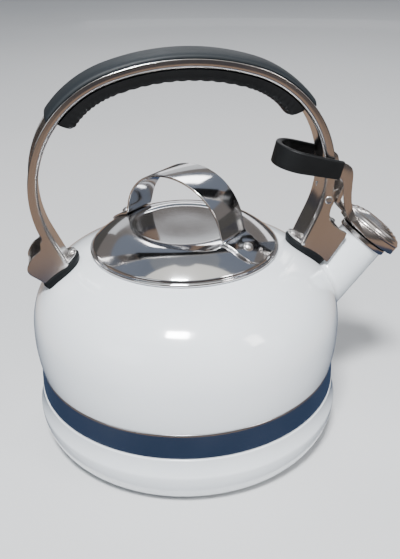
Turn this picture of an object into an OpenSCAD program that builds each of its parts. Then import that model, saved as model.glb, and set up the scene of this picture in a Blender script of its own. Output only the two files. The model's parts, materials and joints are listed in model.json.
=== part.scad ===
// Stovetop whistling kettle: an enamelled steel body with a polished trim band, a lift-off
// steel lid, a channel-section steel handle with two grips, and a sprung whistle lever.
// Millimetres. Z is up, X points to the spout, and the origin is the centre of the base.

/* [Body] */
// Largest radius of the belly
belly_r = 100; // [98:0.5:102]
// Height of the belly's largest radius
belly_z = 75; // [74:0.5:76]
// Rise of the shoulder curve above the belly line
shoulder_rise = 59.3; // [58.5:0.1:60]
// Squareness of the shoulder curve (2 is an ellipse)
shoulder_power = 2.52; // [2.4:0.02:2.6]
// Inward curve of the belly below its largest radius, per mm squared
belly_fall = 0.0051; // [0.004:0.0002:0.006]
// Wall thickness of the enamelled steel
wall = 1.2; // [1:0.1:1.4]

/* [Base and trim band] */
// Height of the top edge of the trim band
band_top = 52.6; // [50:0.2:54]
// Height of the base skirt's top edge
skirt_top = 35.2; // [34:0.2:36]
// Radius of the skirt's top edge
skirt_r = 98.7; // [98:0.1:99.5]
// Radius of the skirt's ridge
ridge_r = 100.8; // [100:0.1:101.5]
// Height of the skirt's ridge
ridge_z = 23; // [20:1:25]
// Radius of the flat bottom
foot_r = 87; // [84:1:90]
// Depth of the seat that the trim band lies in
band_seat = 1.1; // [0.9:0.1:1.3]

/* [Neck and lid] */
// Inner radius of the neck
neck_r = 52; // [51.5:0.1:52.5]
// Depth of the neck's turned-down lip
neck_depth = 8; // [5:1:10]
// Radius of the lid's rim
lid_r = 59.7; // [59:0.1:60]
// Height of the lid's rim
lid_z = 129.7; // [129.4:0.1:130.5]
// Radius of the lid's flat centre
lid_flat_r = 33; // [30:0.5:36]
// Height of the lid's flat centre above the rim
lid_rise = 13.8; // [13:0.1:15]
// Steel thickness of the lid
lid_wall = 0.8; // [0.7:0.1:1]
// Depth of the lid's collar below the rim
collar_depth = 11; // [9:0.5:12]

/* [Lid strap] */
// Direction of the strap, turned about the lid's centre
strap_turn = -48; // [-60:1:-40]
// Height of the strap's crown above the base
strap_top = 177.8; // [172:0.2:180]
// Width of the strap at its crown
strap_w = 28; // [24:1:30]
// Width of the strap at its feet
strap_foot_w = 21; // [19:0.5:22]
// Distance from the lid's centre to a strap rivet
rivet_x = 48.5; // [48:0.5:51]
// Thickness of the strap
strap_t = 1.4; // [1.2:0.1:1.6]

/* [Spout] */
// Angle of the spout above horizontal
spout_angle = 51; // [50:0.5:52]
// Distance of the mouth's centre from the kettle's axis
mouth_x = 121; // [120:0.5:122]
// Height of the mouth's centre
mouth_z = 124; // [123:0.5:125]
// Outer radius of the spout
spout_r = 16; // [15.5:0.1:16.2]
// Wall thickness of the spout
spout_wall = 1.4; // [1.2:0.1:1.6]

/* [Handle] */
// Height of the handle's inner face at the crown
handle_top = 240.7; // [239:0.1:242]
// Radius of the handle's crown
crown_r = 135; // [133:1:137]
// Angle from the crown's middle to where the sides begin
crown_turn = 18; // [17.5:0.5:18.5]
// Radius of the handle's sides
side_r = 66; // [65.5:0.5:66.5]
// Angle from upright at which the straight legs begin
leg_turn = 114; // [113:0.5:115]
// Width of the handle channel
handle_w = 24; // [24:0.2:24.2]
// Depth of the handle channel
channel = 6.2; // [6:0.1:6.5]
// Steel thickness of the handle
steel = 1.3; // [1.2:0.1:1.4]
// Steel thickness of the handle's soles
sole_t = 1.6; // [1.4:0.1:1.8]
// Thickness of the rubber pads under the soles
pad_t = 4.6; // [4:0.1:5]
// Slope of the boots
sole_angle = 44; // [43:0.5:45]
// Distance from the kettle's axis to the inner corner of a boot
sole_x = 75; // [74.5:0.1:75.5]
// Height of the inner corner of a boot
sole_z = 129.2; // [129:0.1:129.6]

/* [Grips] */
// Height of the upper grip above the channel's edge
upper_grip_h = 3.6; // [3:0.1:4]
// Thickness of the lower grip at its middle
lower_grip_h = 7.8; // [7:0.1:8.5]
// Number of finger ribs under the lower grip
rib_count = 33; // [17:2:37]
// Height of a finger rib
rib_h = 0.5; // [0.3:0.1:1]

/* [Lever and whistle] */
// Distance of the lever's pin from the kettle's axis
pin_x = 90.3; // [90.2:0.1:90.6]
// Height of the lever's pin
pin_z = 155.5; // [155:0.1:156]
// Radius of the lever's pin
pin_r = 1.5; // [1.4:0.1:1.6]
// Steel thickness of the lever
lever_t = 1.6; // [1.4:0.1:1.8]
// Gap between a lever arm and the handle's side
arm_gap = 0.6; // [0.5:0.1:0.8]
// Outer radius of the lever's whistle ring
ring_r = 21.6; // [21:0.1:22]
// Height of the whistle ring
ring_h = 5.2; // [4.8:0.1:5.6]
// Slope of the thumb grip
thumb_angle = 14; // [12:1:16]
// Height of the thumb grip's band
thumb_h = 12.5; // [11:0.5:13]

/* [Hidden] */
$fn = 96;
joint_gap = 0.3;     // space between a closed moving piece and what it rests over
running = 0.05;      // radial clearance of the lever on its pin
grip_clear = 0.06;   // gap between a soft part and the steel that it lies on
hole_r = 1.65;       // radius of the holes for the foot screws
screw_r = 1.5;       // radius of a foot screw
lip_drop = 0.3;      // height of the bend at the top of the neck
spout_reach = 60;    // length of the spout's axis inside the body

enamel = [0.93, 0.94, 0.95];
polished = [0.80, 0.80, 0.82];
dark_rubber = [0.10, 0.11, 0.12];
grip_grey = [0.20, 0.24, 0.27];
grip_black = [0.07, 0.07, 0.08];
plain_steel = [0.60, 0.61, 0.63];

// ---- curves ----

// Points along an arc about c, with angles measured from upright towards +X
function arc(c, r, a0, a1, n) =
    [for (i = [0 : n]) let (a = a0 + (a1 - a0) * i / n) [c[0] + r * sin(a), c[1] + r * cos(a)]];

function reversed(p) = [for (i = [len(p) - 1 : -1 : 0]) p[i]];
function mirrored(p) = [for (q = p) [-q[0], q[1]]];
function moved(c, u, n, a) = [c[0] + u * cos(a) + n * sin(a), c[1] - u * sin(a) + n * cos(a)];

// Shoulder of the body grown by d, from the belly line up to the radius r_top
function shoulder_angle(r_top, d) = acos(pow(r_top / (belly_r + d), shoulder_power / 2));
function shoulder(d, r_top, n) = [
    for (i = [0 : n]) let (t = shoulder_angle(r_top, d) * i / n)
        [(belly_r + d) * pow(cos(t), 2 / shoulder_power),
         belly_z + (shoulder_rise + d) * pow(sin(t), 2 / shoulder_power)]
];
function shoulder_z(r, d) = belly_z
    + (shoulder_rise + d) * pow(1 - pow(r / (belly_r + d), shoulder_power), 1 / shoulder_power);
function shoulder_slope(r, d) = atan((shoulder_z(r - 0.5, d) - shoulder_z(r + 0.5, d)));

// Belly below its largest radius, from the height z0 up to the belly line
function belly(d, z0, n) = [
    for (i = [0 : n - 1]) let (z = z0 + (belly_z - z0) * i / n)
        [belly_r + d - belly_fall * pow(belly_z - z, 2), z]
];

// Height of the lid's surface between its rim and its flat centre
function lid_top(r) = lid_z + lid_rise * (1 - pow((r - lid_flat_r) / (lid_r - lid_flat_r), 2));
// The same surface as points, lowered by d
function lid_curve(r0, r1, d, n) =
    [for (i = [0 : n]) let (r = r0 + (r1 - r0) * i / n) [r, lid_top(r) - d]];

// Handle path: the crown, one side and the start of a straight leg, moved outwards by d
crown_c = [0, handle_top - crown_r];
side_c = [(crown_r - side_r) * sin(crown_turn), crown_c[1] + (crown_r - side_r) * cos(crown_turn)];
function half_path(d, a_end) = concat(
    arc(crown_c, crown_r + d, 0, crown_turn, 9),
    arc(side_c, side_r + d, crown_turn, a_end, 26)
);
function leg_point(d, along) = let (e = arc(side_c, side_r + d, leg_turn, leg_turn, 1)[0])
    [e[0] + along * cos(leg_turn), e[1] - along * sin(leg_turn)];
function whole_path(d) = let (h = concat(half_path(d, leg_turn), [leg_point(d, 30)]))
    concat(reversed(mirrored(h)), h);

// A point given along a boot's base line (u) and above it (n), in the front foot
function foot(u, n) = moved([sole_x, sole_z], u, n, sole_angle);
function feet(points) = [for (q = points) foot(q[0], q[1])];

// ---- frames ----

// Draws a side profile (X, Z) as a solid of the width w
module across(w) {
    rotate([90, 0, 0]) linear_extrude(height = w, center = true) children();
}

// Puts children on the spout's axis, with Z outwards and Z = 0 at the mouth
module at_mouth() {
    translate([mouth_x, 0, mouth_z]) rotate([0, 90 - spout_angle, 0]) children();
}

// Puts children on both soles at each foot screw, with Z out of the kettle and Z = 0 on the steel
module at_screws() {
    for (side = [0, 1]) mirror([side, 0, 0]) for (r = screw_x)
        translate([r, 0, shoulder_z(r, pad_t + sole_t)]) rotate([0, shoulder_slope(r, pad_t), 0]) children();
}

module ring(r_out, r_in, h) {
    difference() {
        cylinder(r = r_out, h = h);
        translate([0, 0, -1]) cylinder(r = r_in, h = h + 2);
    }
}

// ---- body ----

// Radii of the shell's seat for the trim band, outside, and of its belly at the band's top
band_top_r = belly_r - belly_fall * pow(belly_z - band_top, 2);
seat_r = band_top_r - band_seat;

// The body's outer surface above the band as a filled solid, grown by d
module body_solid(d) {
    low = 60;
    crown_r = 20;
    rotate_extrude() polygon(concat(
        [[0, low]], belly(d, low, 5), shoulder(d, crown_r, 30), [[0, shoulder_z(crown_r, d)]]
    ));
}

module spout_bore(r) {
    at_mouth() translate([0, 0, -spout_reach]) cylinder(r = r, h = 2 * spout_reach);
}

module upper_shell() {
    lip_r = neck_r + wall;
    lip_z = shoulder_z(lip_r, 0);
    color(enamel) difference() {
        rotate_extrude() polygon(concat(
            [[seat_r, skirt_top], [seat_r, band_top]],
            belly(0, band_top, 6),
            shoulder(0, lip_r, 32),
            [[neck_r, lip_z - lip_drop], [neck_r, lip_z - neck_depth]],
            [[lip_r, lip_z - neck_depth], [lip_r, shoulder_z(lip_r, -wall)]],
            reversed(shoulder(-wall, lip_r + 0.5, 30)),
            reversed(belly(-wall - band_seat / 2, band_top + 3, 5)),
            [[seat_r - wall, band_top], [seat_r - wall, skirt_top]]
        ));
        spout_bore(spout_r - spout_wall);
        foot_holes();
    }
}

// Dished base with an outward skirt, whose upper rim turns in and up inside the shell's seat
module bottom_pan() {
    t = wall + 0.2;
    rim_r = seat_r - wall;
    rim_z = band_top - 4;
    rise = skirt_top - 0.6 - ridge_z;
    outer = concat(
        [for (a = [0 : 6 : 90]) [foot_r + (ridge_r - foot_r) * sin(a), ridge_z * (1 - cos(a))]],
        [for (k = [1 : 8]) [skirt_r + (ridge_r - skirt_r) * pow(1 - k / 8, 2), ridge_z + rise * k / 8]]
    );
    inner = [for (q = outer) if (q[1] > t + 0.4) [q[0] - t, q[1]]];
    kept = [for (q = inner) if (q[1] < skirt_top - t) q];
    color(enamel) rotate_extrude() polygon(concat(
        [[0, 0]], outer,
        [[skirt_r - 0.5, skirt_top], [rim_r, skirt_top], [rim_r, rim_z]],
        [[rim_r - wall, rim_z], [rim_r - wall, skirt_top - t], [skirt_r - t, skirt_top - t]],
        reversed(kept),
        [[foot_r - t, t], [0, t]]
    ));
}

// Polished band in the shell's seat, slightly crowned and with soft edges
module trim_band() {
    low = skirt_top + 0.2;
    high = band_top - 0.2;
    color(polished) rotate_extrude() polygon([
        [seat_r, low], [skirt_r - 0.6, low], [skirt_r - 0.5, low + 0.6],
        [(skirt_r + band_top_r) / 2 - 0.2, (low + high) / 2],
        [band_top_r - 0.1, high - 0.6], [band_top_r - 0.3, high], [seat_r, high]
    ]);
}

// ---- spout ----

module spout_tube() {
    color(enamel) difference() {
        at_mouth() translate([0, 0, -spout_reach]) ring(spout_r, spout_r - spout_wall, spout_reach - 0.4);
        body_solid(0);
    }
}

collar_top = 0.5;    // height of the collar above the mouth

// Rolled steel ring over the mouth, on which the whistle's seal closes
module spout_collar() {
    r = spout_r;
    bore = r - spout_wall;
    color(polished) at_mouth() rotate_extrude() polygon([
        [r, -3.4], [r + 0.9, -3.4], [r + 1.4, -2.9], [r + 1.4, -0.2], [r + 0.8, collar_top],
        [r - 1.6, collar_top], [r - 2.2, 0], [r - 2.2, -2.4], [bore, -2.4], [bore, -0.4], [r, -0.4]
    ]);
}

// ---- handle ----

// Distances from the kettle's axis to the two screws of a sole
screw_x = [71.4, 84];

module foot_holes() {
    at_screws() translate([0, 0, -20]) cylinder(r = hole_r, h = 22);
}

// Side outline of the channel with both boots, drawn past the soles
module handle_outline() {
    ear = [pin_x + 1, pin_z];
    ear_r = 3;
    leg_len = 22;
    rear_boot_z = 144;
    front_boot = feet([
        [25.6, -6], [20.6, 20.6], [19.4, 21.4], [17.6, 21.4],
        [9, 20.3], [4, 20.8], [0.6, 23.5], [-2.4, 28]
    ]);
    rear_boot = feet([
        [2.5, 17.4], [6, 16.2], [11.3, 17], [18.6, 14.8], [20.8, 13.4],
        [21.6, 10.4], [20.6, 1.2], [19.9, -6]
    ]);
    edge = half_path(channel, leg_turn);
    polygon(concat(
        mirrored([leg_point(0, leg_len)]),
        reversed(mirrored(half_path(0, leg_turn))),
        half_path(0, leg_turn),
        [leg_point(0, leg_len)],
        front_boot,
        reversed(arc(ear, ear_r, 50, 120, 6)),
        reversed([for (q = edge) if (q[1] > pin_z + 5) q]),
        mirrored([for (q = edge) if (q[1] > rear_boot_z) q]),
        mirrored(rear_boot)
    ));
}

// Hollow of the channel, open on its outer side
module channel_hollow() {
    far_x = 120;
    far_z = 270;
    near_z = 150;
    front = feet([[-0.5, -12], [23, -12], [22, 0], [19, 20], [10, 26], [0, 30]]);
    rear = feet([[0, 30], [12, 26], [18.6, 15.4], [19.4, 12], [18, 3], [18, -12], [-0.5, -12]]);
    polygon(concat(
        front,
        [[far_x, near_z], [far_x, far_z], [-far_x, far_z], [-far_x, near_z]],
        mirrored(rear),
        [for (q = whole_path(steel)) if (q[1] > sole_z + 4) q]
    ));
}

// Upright prism over a foot, from a round inner end at the distance x_in to the boot's end u_out
module foot_prism(x_in, u_out, w) {
    r = w / 2;
    low = 90;
    intersection() {
        translate([0, 0, low]) linear_extrude(height = 50) polygon(concat(
            [[110, r], [110, -r]],
            [for (a = [270 : -7.5 : 90]) [x_in + r + r * cos(a), r * sin(a)]]
        ));
        across(w + 2) polygon(feet([[u_out, 20], [u_out, -40], [-40, -40], [-40, 20]]));
    }
}

module handle_band() {
    color(polished) difference() {
        union() {
            difference() {
                across(handle_w) handle_outline();
                across(handle_w - 2 * steel) channel_hollow();
            }
            sole(24);
            mirror([1, 0, 0]) sole(19);
        }
        body_solid(pad_t);
        spout_bore(spout_r + 0.6);
        foot_holes();
        across(handle_w + 2) translate([pin_x, pin_z]) circle(r = pin_r);
        grip_holes(1.6);
    }
}

// Sheet of a sole, whose underside is cut to the pad
module sole(u_out) {
    intersection() {
        foot_prism(68.5, u_out, handle_w - 0.4);
        body_solid(pad_t + sole_t);
    }
}

// Rubber pad between a sole and the shoulder, as thick all over
module gasket() {
    difference() {
        intersection() {
            foot_prism(67, 22, handle_w + 2.4);
            body_solid(pad_t);
        }
        body_solid(grip_clear);
        foot_holes();
    }
}

module rear_gasket() {
    color(dark_rubber) mirror([1, 0, 0]) gasket();
}

module front_gasket() {
    color(dark_rubber) difference() {
        gasket();
        spout_bore(spout_r + 0.3);
    }
}

// Pan-head screws, two in each sole
module handle_screws() {
    head_r = 2.4;
    below = 15;
    lift = 0.15;
    color(plain_steel) at_screws() {
        translate([0, 0, -below]) cylinder(r = screw_r, h = below + 0.5);
        translate([0, 0, lift]) cylinder(r = head_r, h = 0.7);
        translate([0, 0, lift + 0.7]) cylinder(r1 = head_r, r2 = 1.5, h = 0.8);
    }
}

// Nuts welded inside the shell, shaped to its inner face
module handle_nuts() {
    color(plain_steel) difference() {
        intersection() {
            at_screws() translate([0, 0, -16]) cylinder(r = 3.5, h = 14);
            body_solid(-wall - 0.05);
        }
        at_screws() translate([0, 0, -20]) cylinder(r = screw_r, h = 26);
    }
}

// ---- grips ----

grip_turn = [-10, 10];  // angles of the two grip screws from upright

module grip_holes(r) {
    for (a = grip_turn) translate([0, 0, crown_c[1]]) rotate([0, a, 0])
        translate([0, 0, crown_r - 12]) cylinder(r = r, h = 18);
}

// Side outline of a strip along the handle, between two curves of distance from its inner face,
// with n steps on each side of the crown
module strip(a_end, n, low, high) {
    turn = [for (i = [-n : n]) a_end * i / n];
    polygon(concat(
        [for (a = turn) strip_point(a, low(a / a_end))],
        [for (i = [2 * n : -1 : 0]) strip_point(turn[i], high(turn[i] / a_end))]
    ));
}

// A point at the angle a from upright and the distance d outside the handle's inner face
function strip_point(a, d) = let (s = a < 0 ? -1 : 1, b = abs(a))
    b <= crown_turn
        ? [s * (crown_r + d) * sin(b), crown_c[1] + (crown_r + d) * cos(b)]
        : [s * (side_c[0] + (side_r + d) * sin(b)), side_c[1] + (side_r + d) * cos(b)];

upper_end = 52.5;    // angle at which the upper grip ends
lower_end = 50.5;    // angle at which the lower grip ends

module upper_grip() {
    seam = channel + 0.25;
    crown = function (t) channel + upper_grip_h - 1.1 * pow(abs(t), 3) - 1.4 * pow(abs(t), 24);
    color(grip_grey) difference() {
        union() {
            across(handle_w) strip(upper_end, 60, function (t) seam, crown);
            across(handle_w - 2 * steel - 0.4)
                strip(upper_end - 3, 60, function (t) steel + 0.1, function (t) seam + 1);
        }
        grip_holes(1.25);
    }
}

module lower_grip() {
    rib = function (t) rib_h * pow(abs(sin(90 * rib_count * t)), 3);
    under = function (t) -lower_grip_h - 2.4 * pow(abs(t), 4) + rib(t) + 7 * pow(abs(t), 30);
    color(grip_black) difference() {
        across(handle_w - 2) strip(lower_end, 3 * rib_count, under, function (t) -grip_clear);
        grip_holes(1.6);
        for (a = grip_turn) translate([0, 0, crown_c[1]]) rotate([0, a, 0])
            translate([0, 0, crown_r - 14]) cylinder(r = 2.8, h = 9.5);
    }
}

module grip_screws() {
    color(plain_steel) for (a = grip_turn) translate([0, 0, crown_c[1]]) rotate([0, a, 0]) {
        translate([0, 0, crown_r - 6]) cylinder(r = 2.6, h = 1.5);
        translate([0, 0, crown_r - 5]) cylinder(r = 1.25, h = 11);
    }
}

// ---- lever ----

arm_in = handle_w / 2 + arm_gap;
arm_out = arm_in + lever_t;
ring_low = 1;         // height of the whistle ring above the mouth
lug_y = 7.6;          // inner face of a lever lug
spring_wire = 0.5;    // radius of the spring's wire

// A point given along the spout's axis (s) and across it (p, away from the handle)
function at_spout(s, p) = [mouth_x + s * cos(spout_angle) + p * sin(spout_angle),
                           mouth_z + s * sin(spout_angle) - p * cos(spout_angle)];

module arm_outline() {
    polygon([
        [86, 173.4], [95, 170.6], [96.7, 169.2], [98.2, 166.4], [98.8, 162], [99.3, 156],
        [100.4, 150], [102.6, 144.6], [106, 139.4], at_spout(ring_low, -16), at_spout(ring_low, -9),
        at_spout(ring_low + ring_h, -9), at_spout(ring_low + ring_h, -15.2),
        [109.6, 141.2], [106.8, 146.6], [105, 152], [104.2, 158], [104.1, 166],
        [104.2, 173], [103.3, 176.4], [101, 178.6], [96, 180.6], [88, 182.6]
    ]);
}

module lever_frame() {
    color(polished) difference() {
        union() {
            for (s = [-1, 1]) translate([0, s * (arm_in + lever_t / 2), 0]) across(lever_t) arm_outline();
            at_mouth() translate([0, 0, ring_low]) ring(ring_r, ring_r - 1.5, ring_h);
            across(2 * arm_in + 0.2) polygon([
                [99.4, 165.8], [100.8, 165.8], [101.2, 163], [98.4, 156.4], [96.8, 153.2],
                [94.8, 153.6], [95.6, 157.4], [97.2, 161.2]
            ]);
            for (s = [-1, 1]) translate([0, s * (lug_y + lever_t / 2), 0]) across(lever_t) {
                translate([pin_x, pin_z]) circle(r = 3.1);
                polygon([[pin_x, pin_z + 3.1], [97, 161], [97, 154], [pin_x + 0.6, pin_z - 3]]);
            }
        }
        at_mouth() translate([0, 0, ring_low - 0.1]) cylinder(r = ring_r - 1.5, h = ring_h + 20);
        across(40) translate([pin_x, pin_z]) circle(r = pin_r + running);
    }
}

// Tilts children about the arms' ends so that the thumb grip rises towards the lid
module at_thumb() {
    translate([96, 0, 175.6]) rotate([0, thumb_angle, 0]) translate([-96, 0, 0]) children();
}

// Plan of the loop: round at the inner end and straight to x_end, grown by grow
module thumb_plan(grow, x_end) {
    loop_x = 72.6;
    r = 16.6 + grow;
    translate([loop_x, 0]) circle(r = r);
    translate([loop_x, -r]) square([x_end - loop_x, 2 * r]);
}

module thumb_grip() {
    color(grip_black) difference() {
        at_thumb() translate([0, 0, -thumb_h / 2]) linear_extrude(height = thumb_h) difference() {
            thumb_plan(0, 96);
            thumb_plan(-3.9, 100);
        }
        for (s = [-1, 1]) translate([0, s * (arm_in + lever_t / 2), 0]) across(lever_t) arm_outline();
    }
}

// Drawn steel cap over the ring: a ridged dome with a small steam hole
module whistle_cap() {
    r = ring_r;
    z0 = ring_low + ring_h;
    rim = r - 0.9;
    hole = 1.5;
    low = ring_low + 0.6;
    pitch = 3.3;
    dome = function (q) 3.8 * (1 - pow(q / rim, 2.4));
    ridge = function (q) q > 7.5 && q < 17.5 ? 0.45 * cos(360 * q / pitch) : 0;
    color(polished) at_mouth() rotate_extrude() polygon(concat(
        [[r - 1.5, low], [r - 1.5, z0], [r - 0.6, z0 + 0.1], [r - 0.2, z0 + 0.7]],
        [[r - 0.3, z0 + 1.4], [rim, z0 + 2]],
        [for (k = [0 : 48]) let (q = rim - (rim - hole) * k / 48) [q, z0 + 3.4 + dome(q) + ridge(q)]],
        [[hole, z0 + 2.6 + dome(hole)]],
        [for (k = [0 : 20]) let (q = 2.5 + (r - 6) * k / 20) [q, z0 + 2.2 + dome(q)]],
        [[chamber_r, z0 + 1], [chamber_r, low]]
    ));
}

chamber_r = ring_r - 2.4;   // radius of the space inside the cap
low_plate = ring_low + 2.1; // height of the lower whistle plate
whistle_hole = 1.6;         // radius of the steam hole in a plate

// One of the two discs that make the whistle's chamber, at the height z
module whistle_disc(z) {
    at_mouth() translate([0, 0, z]) ring(chamber_r, whistle_hole, 0.7);
}

module upper_whistle_plate() {
    color(plain_steel) whistle_disc(low_plate + 3.5);
}

module lower_whistle_plate() {
    color(plain_steel) whistle_disc(low_plate);
}

// Flat ring under the lower plate, which closes over the collar
module cap_seal() {
    low = collar_top + joint_gap;
    color(dark_rubber) at_mouth() translate([0, 0, low]) ring(chamber_r, spout_r - 3, low_plate - low);
}

module pivot_pin() {
    half = handle_w / 2;
    color(plain_steel) {
        translate([pin_x, half, pin_z]) rotate([90, 0, 0]) cylinder(r = pin_r, h = handle_w);
        for (s = [0, 1]) mirror([0, s, 0]) translate([pin_x, -half, pin_z]) rotate([90, 0, 0]) {
            cylinder(r = 2.5, h = 0.25);
            translate([0, 0, 0.25]) cylinder(r1 = 2.5, r2 = 1.7, h = 0.2);
        }
    }
}

module pivot_washers() {
    w = handle_w / 2 - steel;
    y = lug_y + lever_t + 0.1;
    color(plain_steel) for (s = [0, 1]) mirror([0, s, 0])
        translate([pin_x, w - 0.05, pin_z]) rotate([90, 0, 0]) ring(2.8, pin_r, w - 0.05 - y);
}

// Torsion spring on the pin: turns of wire side by side, as one ribbed sleeve
module lever_spring() {
    coil_r = pin_r + 0.3 + spring_wire;
    pitch = 2 * spring_wire * sin(60) + 0.08;
    turns = 9;
    first = -pitch * (turns - 1) / 2;
    outside = [
        for (k = [0 : turns - 1]) for (a = [-60 : 60 : 60])
            [coil_r + spring_wire * cos(a), first + pitch * k + spring_wire * sin(a)]
    ];
    inside = [for (q = outside) [2 * coil_r - q[0], q[1]]];
    color(plain_steel) translate([pin_x, 0, pin_z]) rotate([90, 0, 0])
        rotate_extrude() polygon(concat(outside, reversed(inside)));
}

// ---- lid ----

edge_z = lid_z + lid_rise;   // height of the crisp edge round the lid's flat centre
flat_z = edge_z - 0.9;       // height of the flat centre

// Domed lid with a flat centre and a rolled bead at its rim
module lid_shell() {
    bead_z = lid_z - 0.7;
    color(polished) difference() {
        rotate_extrude() polygon(concat(
            [[0, flat_z], [lid_flat_r - 2.2, flat_z], [lid_flat_r - 1, edge_z - 0.3]],
            lid_curve(lid_flat_r, lid_r - 0.6, 0, 26),
            arc([lid_r - 0.9, bead_z], 1, 45, 180, 8),
            arc([lid_r - 2.2, bead_z], 1, 180, 300, 6),
            reversed(lid_curve(lid_flat_r, lid_r - 3.2, lid_wall, 22)),
            [[lid_flat_r - 1.5, edge_z - 1.2], [lid_flat_r - 2.4, flat_z - lid_wall], [0, flat_z - lid_wall]]
        ));
        rivet_holes();
    }
}

// Collar under the lid, which guides it into the neck, notched round the rivets' tails
module lid_collar() {
    r = neck_r - 0.7;
    color(polished) difference() {
        rotate_extrude() polygon(concat(
            [[r - 1, lid_z - collar_depth], [r, lid_z - collar_depth]],
            [[r, lid_top(r) - 2 * lid_wall], [r + 3, lid_top(r + 3) - 2 * lid_wall]],
            reversed(lid_curve(r - 1, r + 3, lid_wall, 4))
        ));
        at_rivets() translate([0, 0, -4]) cylinder(r = 3, h = 4);
    }
}

// Puts children in the strap's frame, with X along the strap
module along_strap() {
    rotate([0, 0, strap_turn]) children();
}

// Puts children on the lid at the rivets, with Z out of the lid
module at_rivets() {
    slope = atan(2 * lid_rise * (rivet_x - lid_flat_r) / pow(lid_r - lid_flat_r, 2));
    along_strap() for (side = [0, 1]) mirror([side, 0, 0])
        translate([rivet_x, 0, lid_top(rivet_x)]) rotate([0, slope, 0]) children();
}

rivet_r = 1.6;       // radius of a rivet's shank

module rivet_holes() {
    at_rivets() translate([0, 0, -4]) cylinder(r = rivet_r, h = 8);
}

arch_r = 38;         // half the length of the strap's arch
arch_z = 143;        // height from which the arch springs
arch_power = 2.05;   // squareness of the arch
bend_r = 38.8;       // radius at which the reversed bend into a foot starts
bend_h = 0.6;        // height of the reversed bend

// Crown of the strap as a superellipse arch, then a reversed bend into the foot
function strap_side(d) = concat(
    [for (t = [90 : -3 : 3])
        [(arch_r + d) * pow(cos(t), 2 / arch_power),
         arch_z + (strap_top - arch_z + d) * pow(sin(t), 2 / arch_power)]],
    [for (r = [bend_r + d : 2 : 60])
        [r + d / 2, lid_top(min(r, lid_r)) + strap_t + d + bend_h * pow(0.5, (r - bend_r - d) / 2)]]
);

// Plan of the strap: widest at the crown, with round ends
module strap_plan() {
    half = strap_foot_w / 2;
    foot_x = lid_r - 1.2 - half;
    edge = [[foot_x, half], [30, half + 2.6], [12, strap_w / 2]];
    top = concat(edge, reversed(mirrored(edge)));
    polygon(concat(top, [for (q = reversed(top)) [q[0], -q[1]]]));
    for (s = [-1, 1]) translate([s * foot_x, 0]) circle(r = half);
}

module lid_strap() {
    outer = strap_side(0);
    inner = strap_side(-strap_t);
    side = concat(reversed(mirrored(outer)), outer, reversed(inner), mirrored(inner));
    color(polished) difference() {
        along_strap() intersection() {
            across(strap_w + 2) polygon(side);
            translate([0, 0, 100]) linear_extrude(height = 100) strap_plan();
        }
        lid_solid();
        rivet_holes();
    }
}

// Everything under the lid's upper surface
module lid_solid() {
    rotate_extrude() polygon(concat(
        [[0, 100], [0, flat_z], [lid_flat_r - 1, edge_z - 0.3]],
        lid_curve(lid_flat_r, lid_r - 0.6, 0, 26), [[lid_r - 0.6, 100]]
    ));
}

// Each rivet has a tail under the lid, a shank and a domed head on the strap
module lid_rivets() {
    tail_r = 2.6;
    tail_top = -lid_wall - 0.1;
    tail_low = tail_top - 1.1;
    head_z = strap_t + 0.4;
    dome = arc([0, head_z - 2.6], 4.2, 51.8, 6, 10);
    color(plain_steel) at_rivets() rotate_extrude() polygon(concat(
        [[0, tail_low], [tail_r, tail_low], [tail_r, tail_top], [rivet_r, tail_top], [rivet_r, head_z]],
        dome, [[0, head_z + 1.6]]
    ));
}

upper_shell();
bottom_pan();
trim_band();
spout_tube();
spout_collar();
handle_band();
rear_gasket();
front_gasket();
handle_screws();
handle_nuts();
upper_grip();
lower_grip();
grip_screws();
pivot_pin();
pivot_washers();
lever_spring();
lever_frame();
thumb_grip();
whistle_cap();
upper_whistle_plate();
lower_whistle_plate();
cap_seal();
lid_shell();
lid_collar();
lid_strap();
lid_rivets();
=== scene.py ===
import json
import math

import bmesh
import bpy
from mathutils import Matrix, Vector


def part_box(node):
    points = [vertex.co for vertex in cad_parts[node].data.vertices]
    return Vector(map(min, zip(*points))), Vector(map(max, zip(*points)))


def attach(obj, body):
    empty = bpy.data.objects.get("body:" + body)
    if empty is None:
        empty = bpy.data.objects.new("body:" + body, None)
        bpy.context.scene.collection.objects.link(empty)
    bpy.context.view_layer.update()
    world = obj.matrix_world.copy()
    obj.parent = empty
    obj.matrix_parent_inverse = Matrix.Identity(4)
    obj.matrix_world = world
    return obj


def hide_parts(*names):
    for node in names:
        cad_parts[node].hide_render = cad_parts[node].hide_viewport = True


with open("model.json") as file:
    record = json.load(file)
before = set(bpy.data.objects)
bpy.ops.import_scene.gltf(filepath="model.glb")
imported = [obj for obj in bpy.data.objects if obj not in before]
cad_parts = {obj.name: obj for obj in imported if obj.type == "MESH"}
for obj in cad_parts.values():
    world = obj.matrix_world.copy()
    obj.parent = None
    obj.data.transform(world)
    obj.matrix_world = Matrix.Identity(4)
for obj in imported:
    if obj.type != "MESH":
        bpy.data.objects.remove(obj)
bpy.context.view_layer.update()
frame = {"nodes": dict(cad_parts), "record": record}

# The stovetop whistling kettle's looks. Lengths are in millimetres, unless a comment says
# metres, in the CAD model's frame: Z up, +X to the spout, origin at the centre of the base.
# Meshes are made in millimetres and scaled to metres once, by MM.

MM = 0.001


def node_box(name):
    """Lowest and highest corner of a CAD node, in millimetres."""
    low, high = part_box(name)
    return low / MM, high / MM


# ---------------------------------------------------------------- sizes

SHELL_HIGH = node_box("upper_shell")[1]
PAN_HIGH = node_box("bottom_pan")[1]
BAND_LOW, BAND_HIGH = node_box("trim_band")
LID_HIGH = node_box("lid_shell")[1]
STRAP_HIGH = node_box("lid_strap")[1]
HANDLE_HIGH = node_box("handle_band")[1]
PIN_LOW, PIN_HIGH = node_box("pivot_pin")

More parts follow.
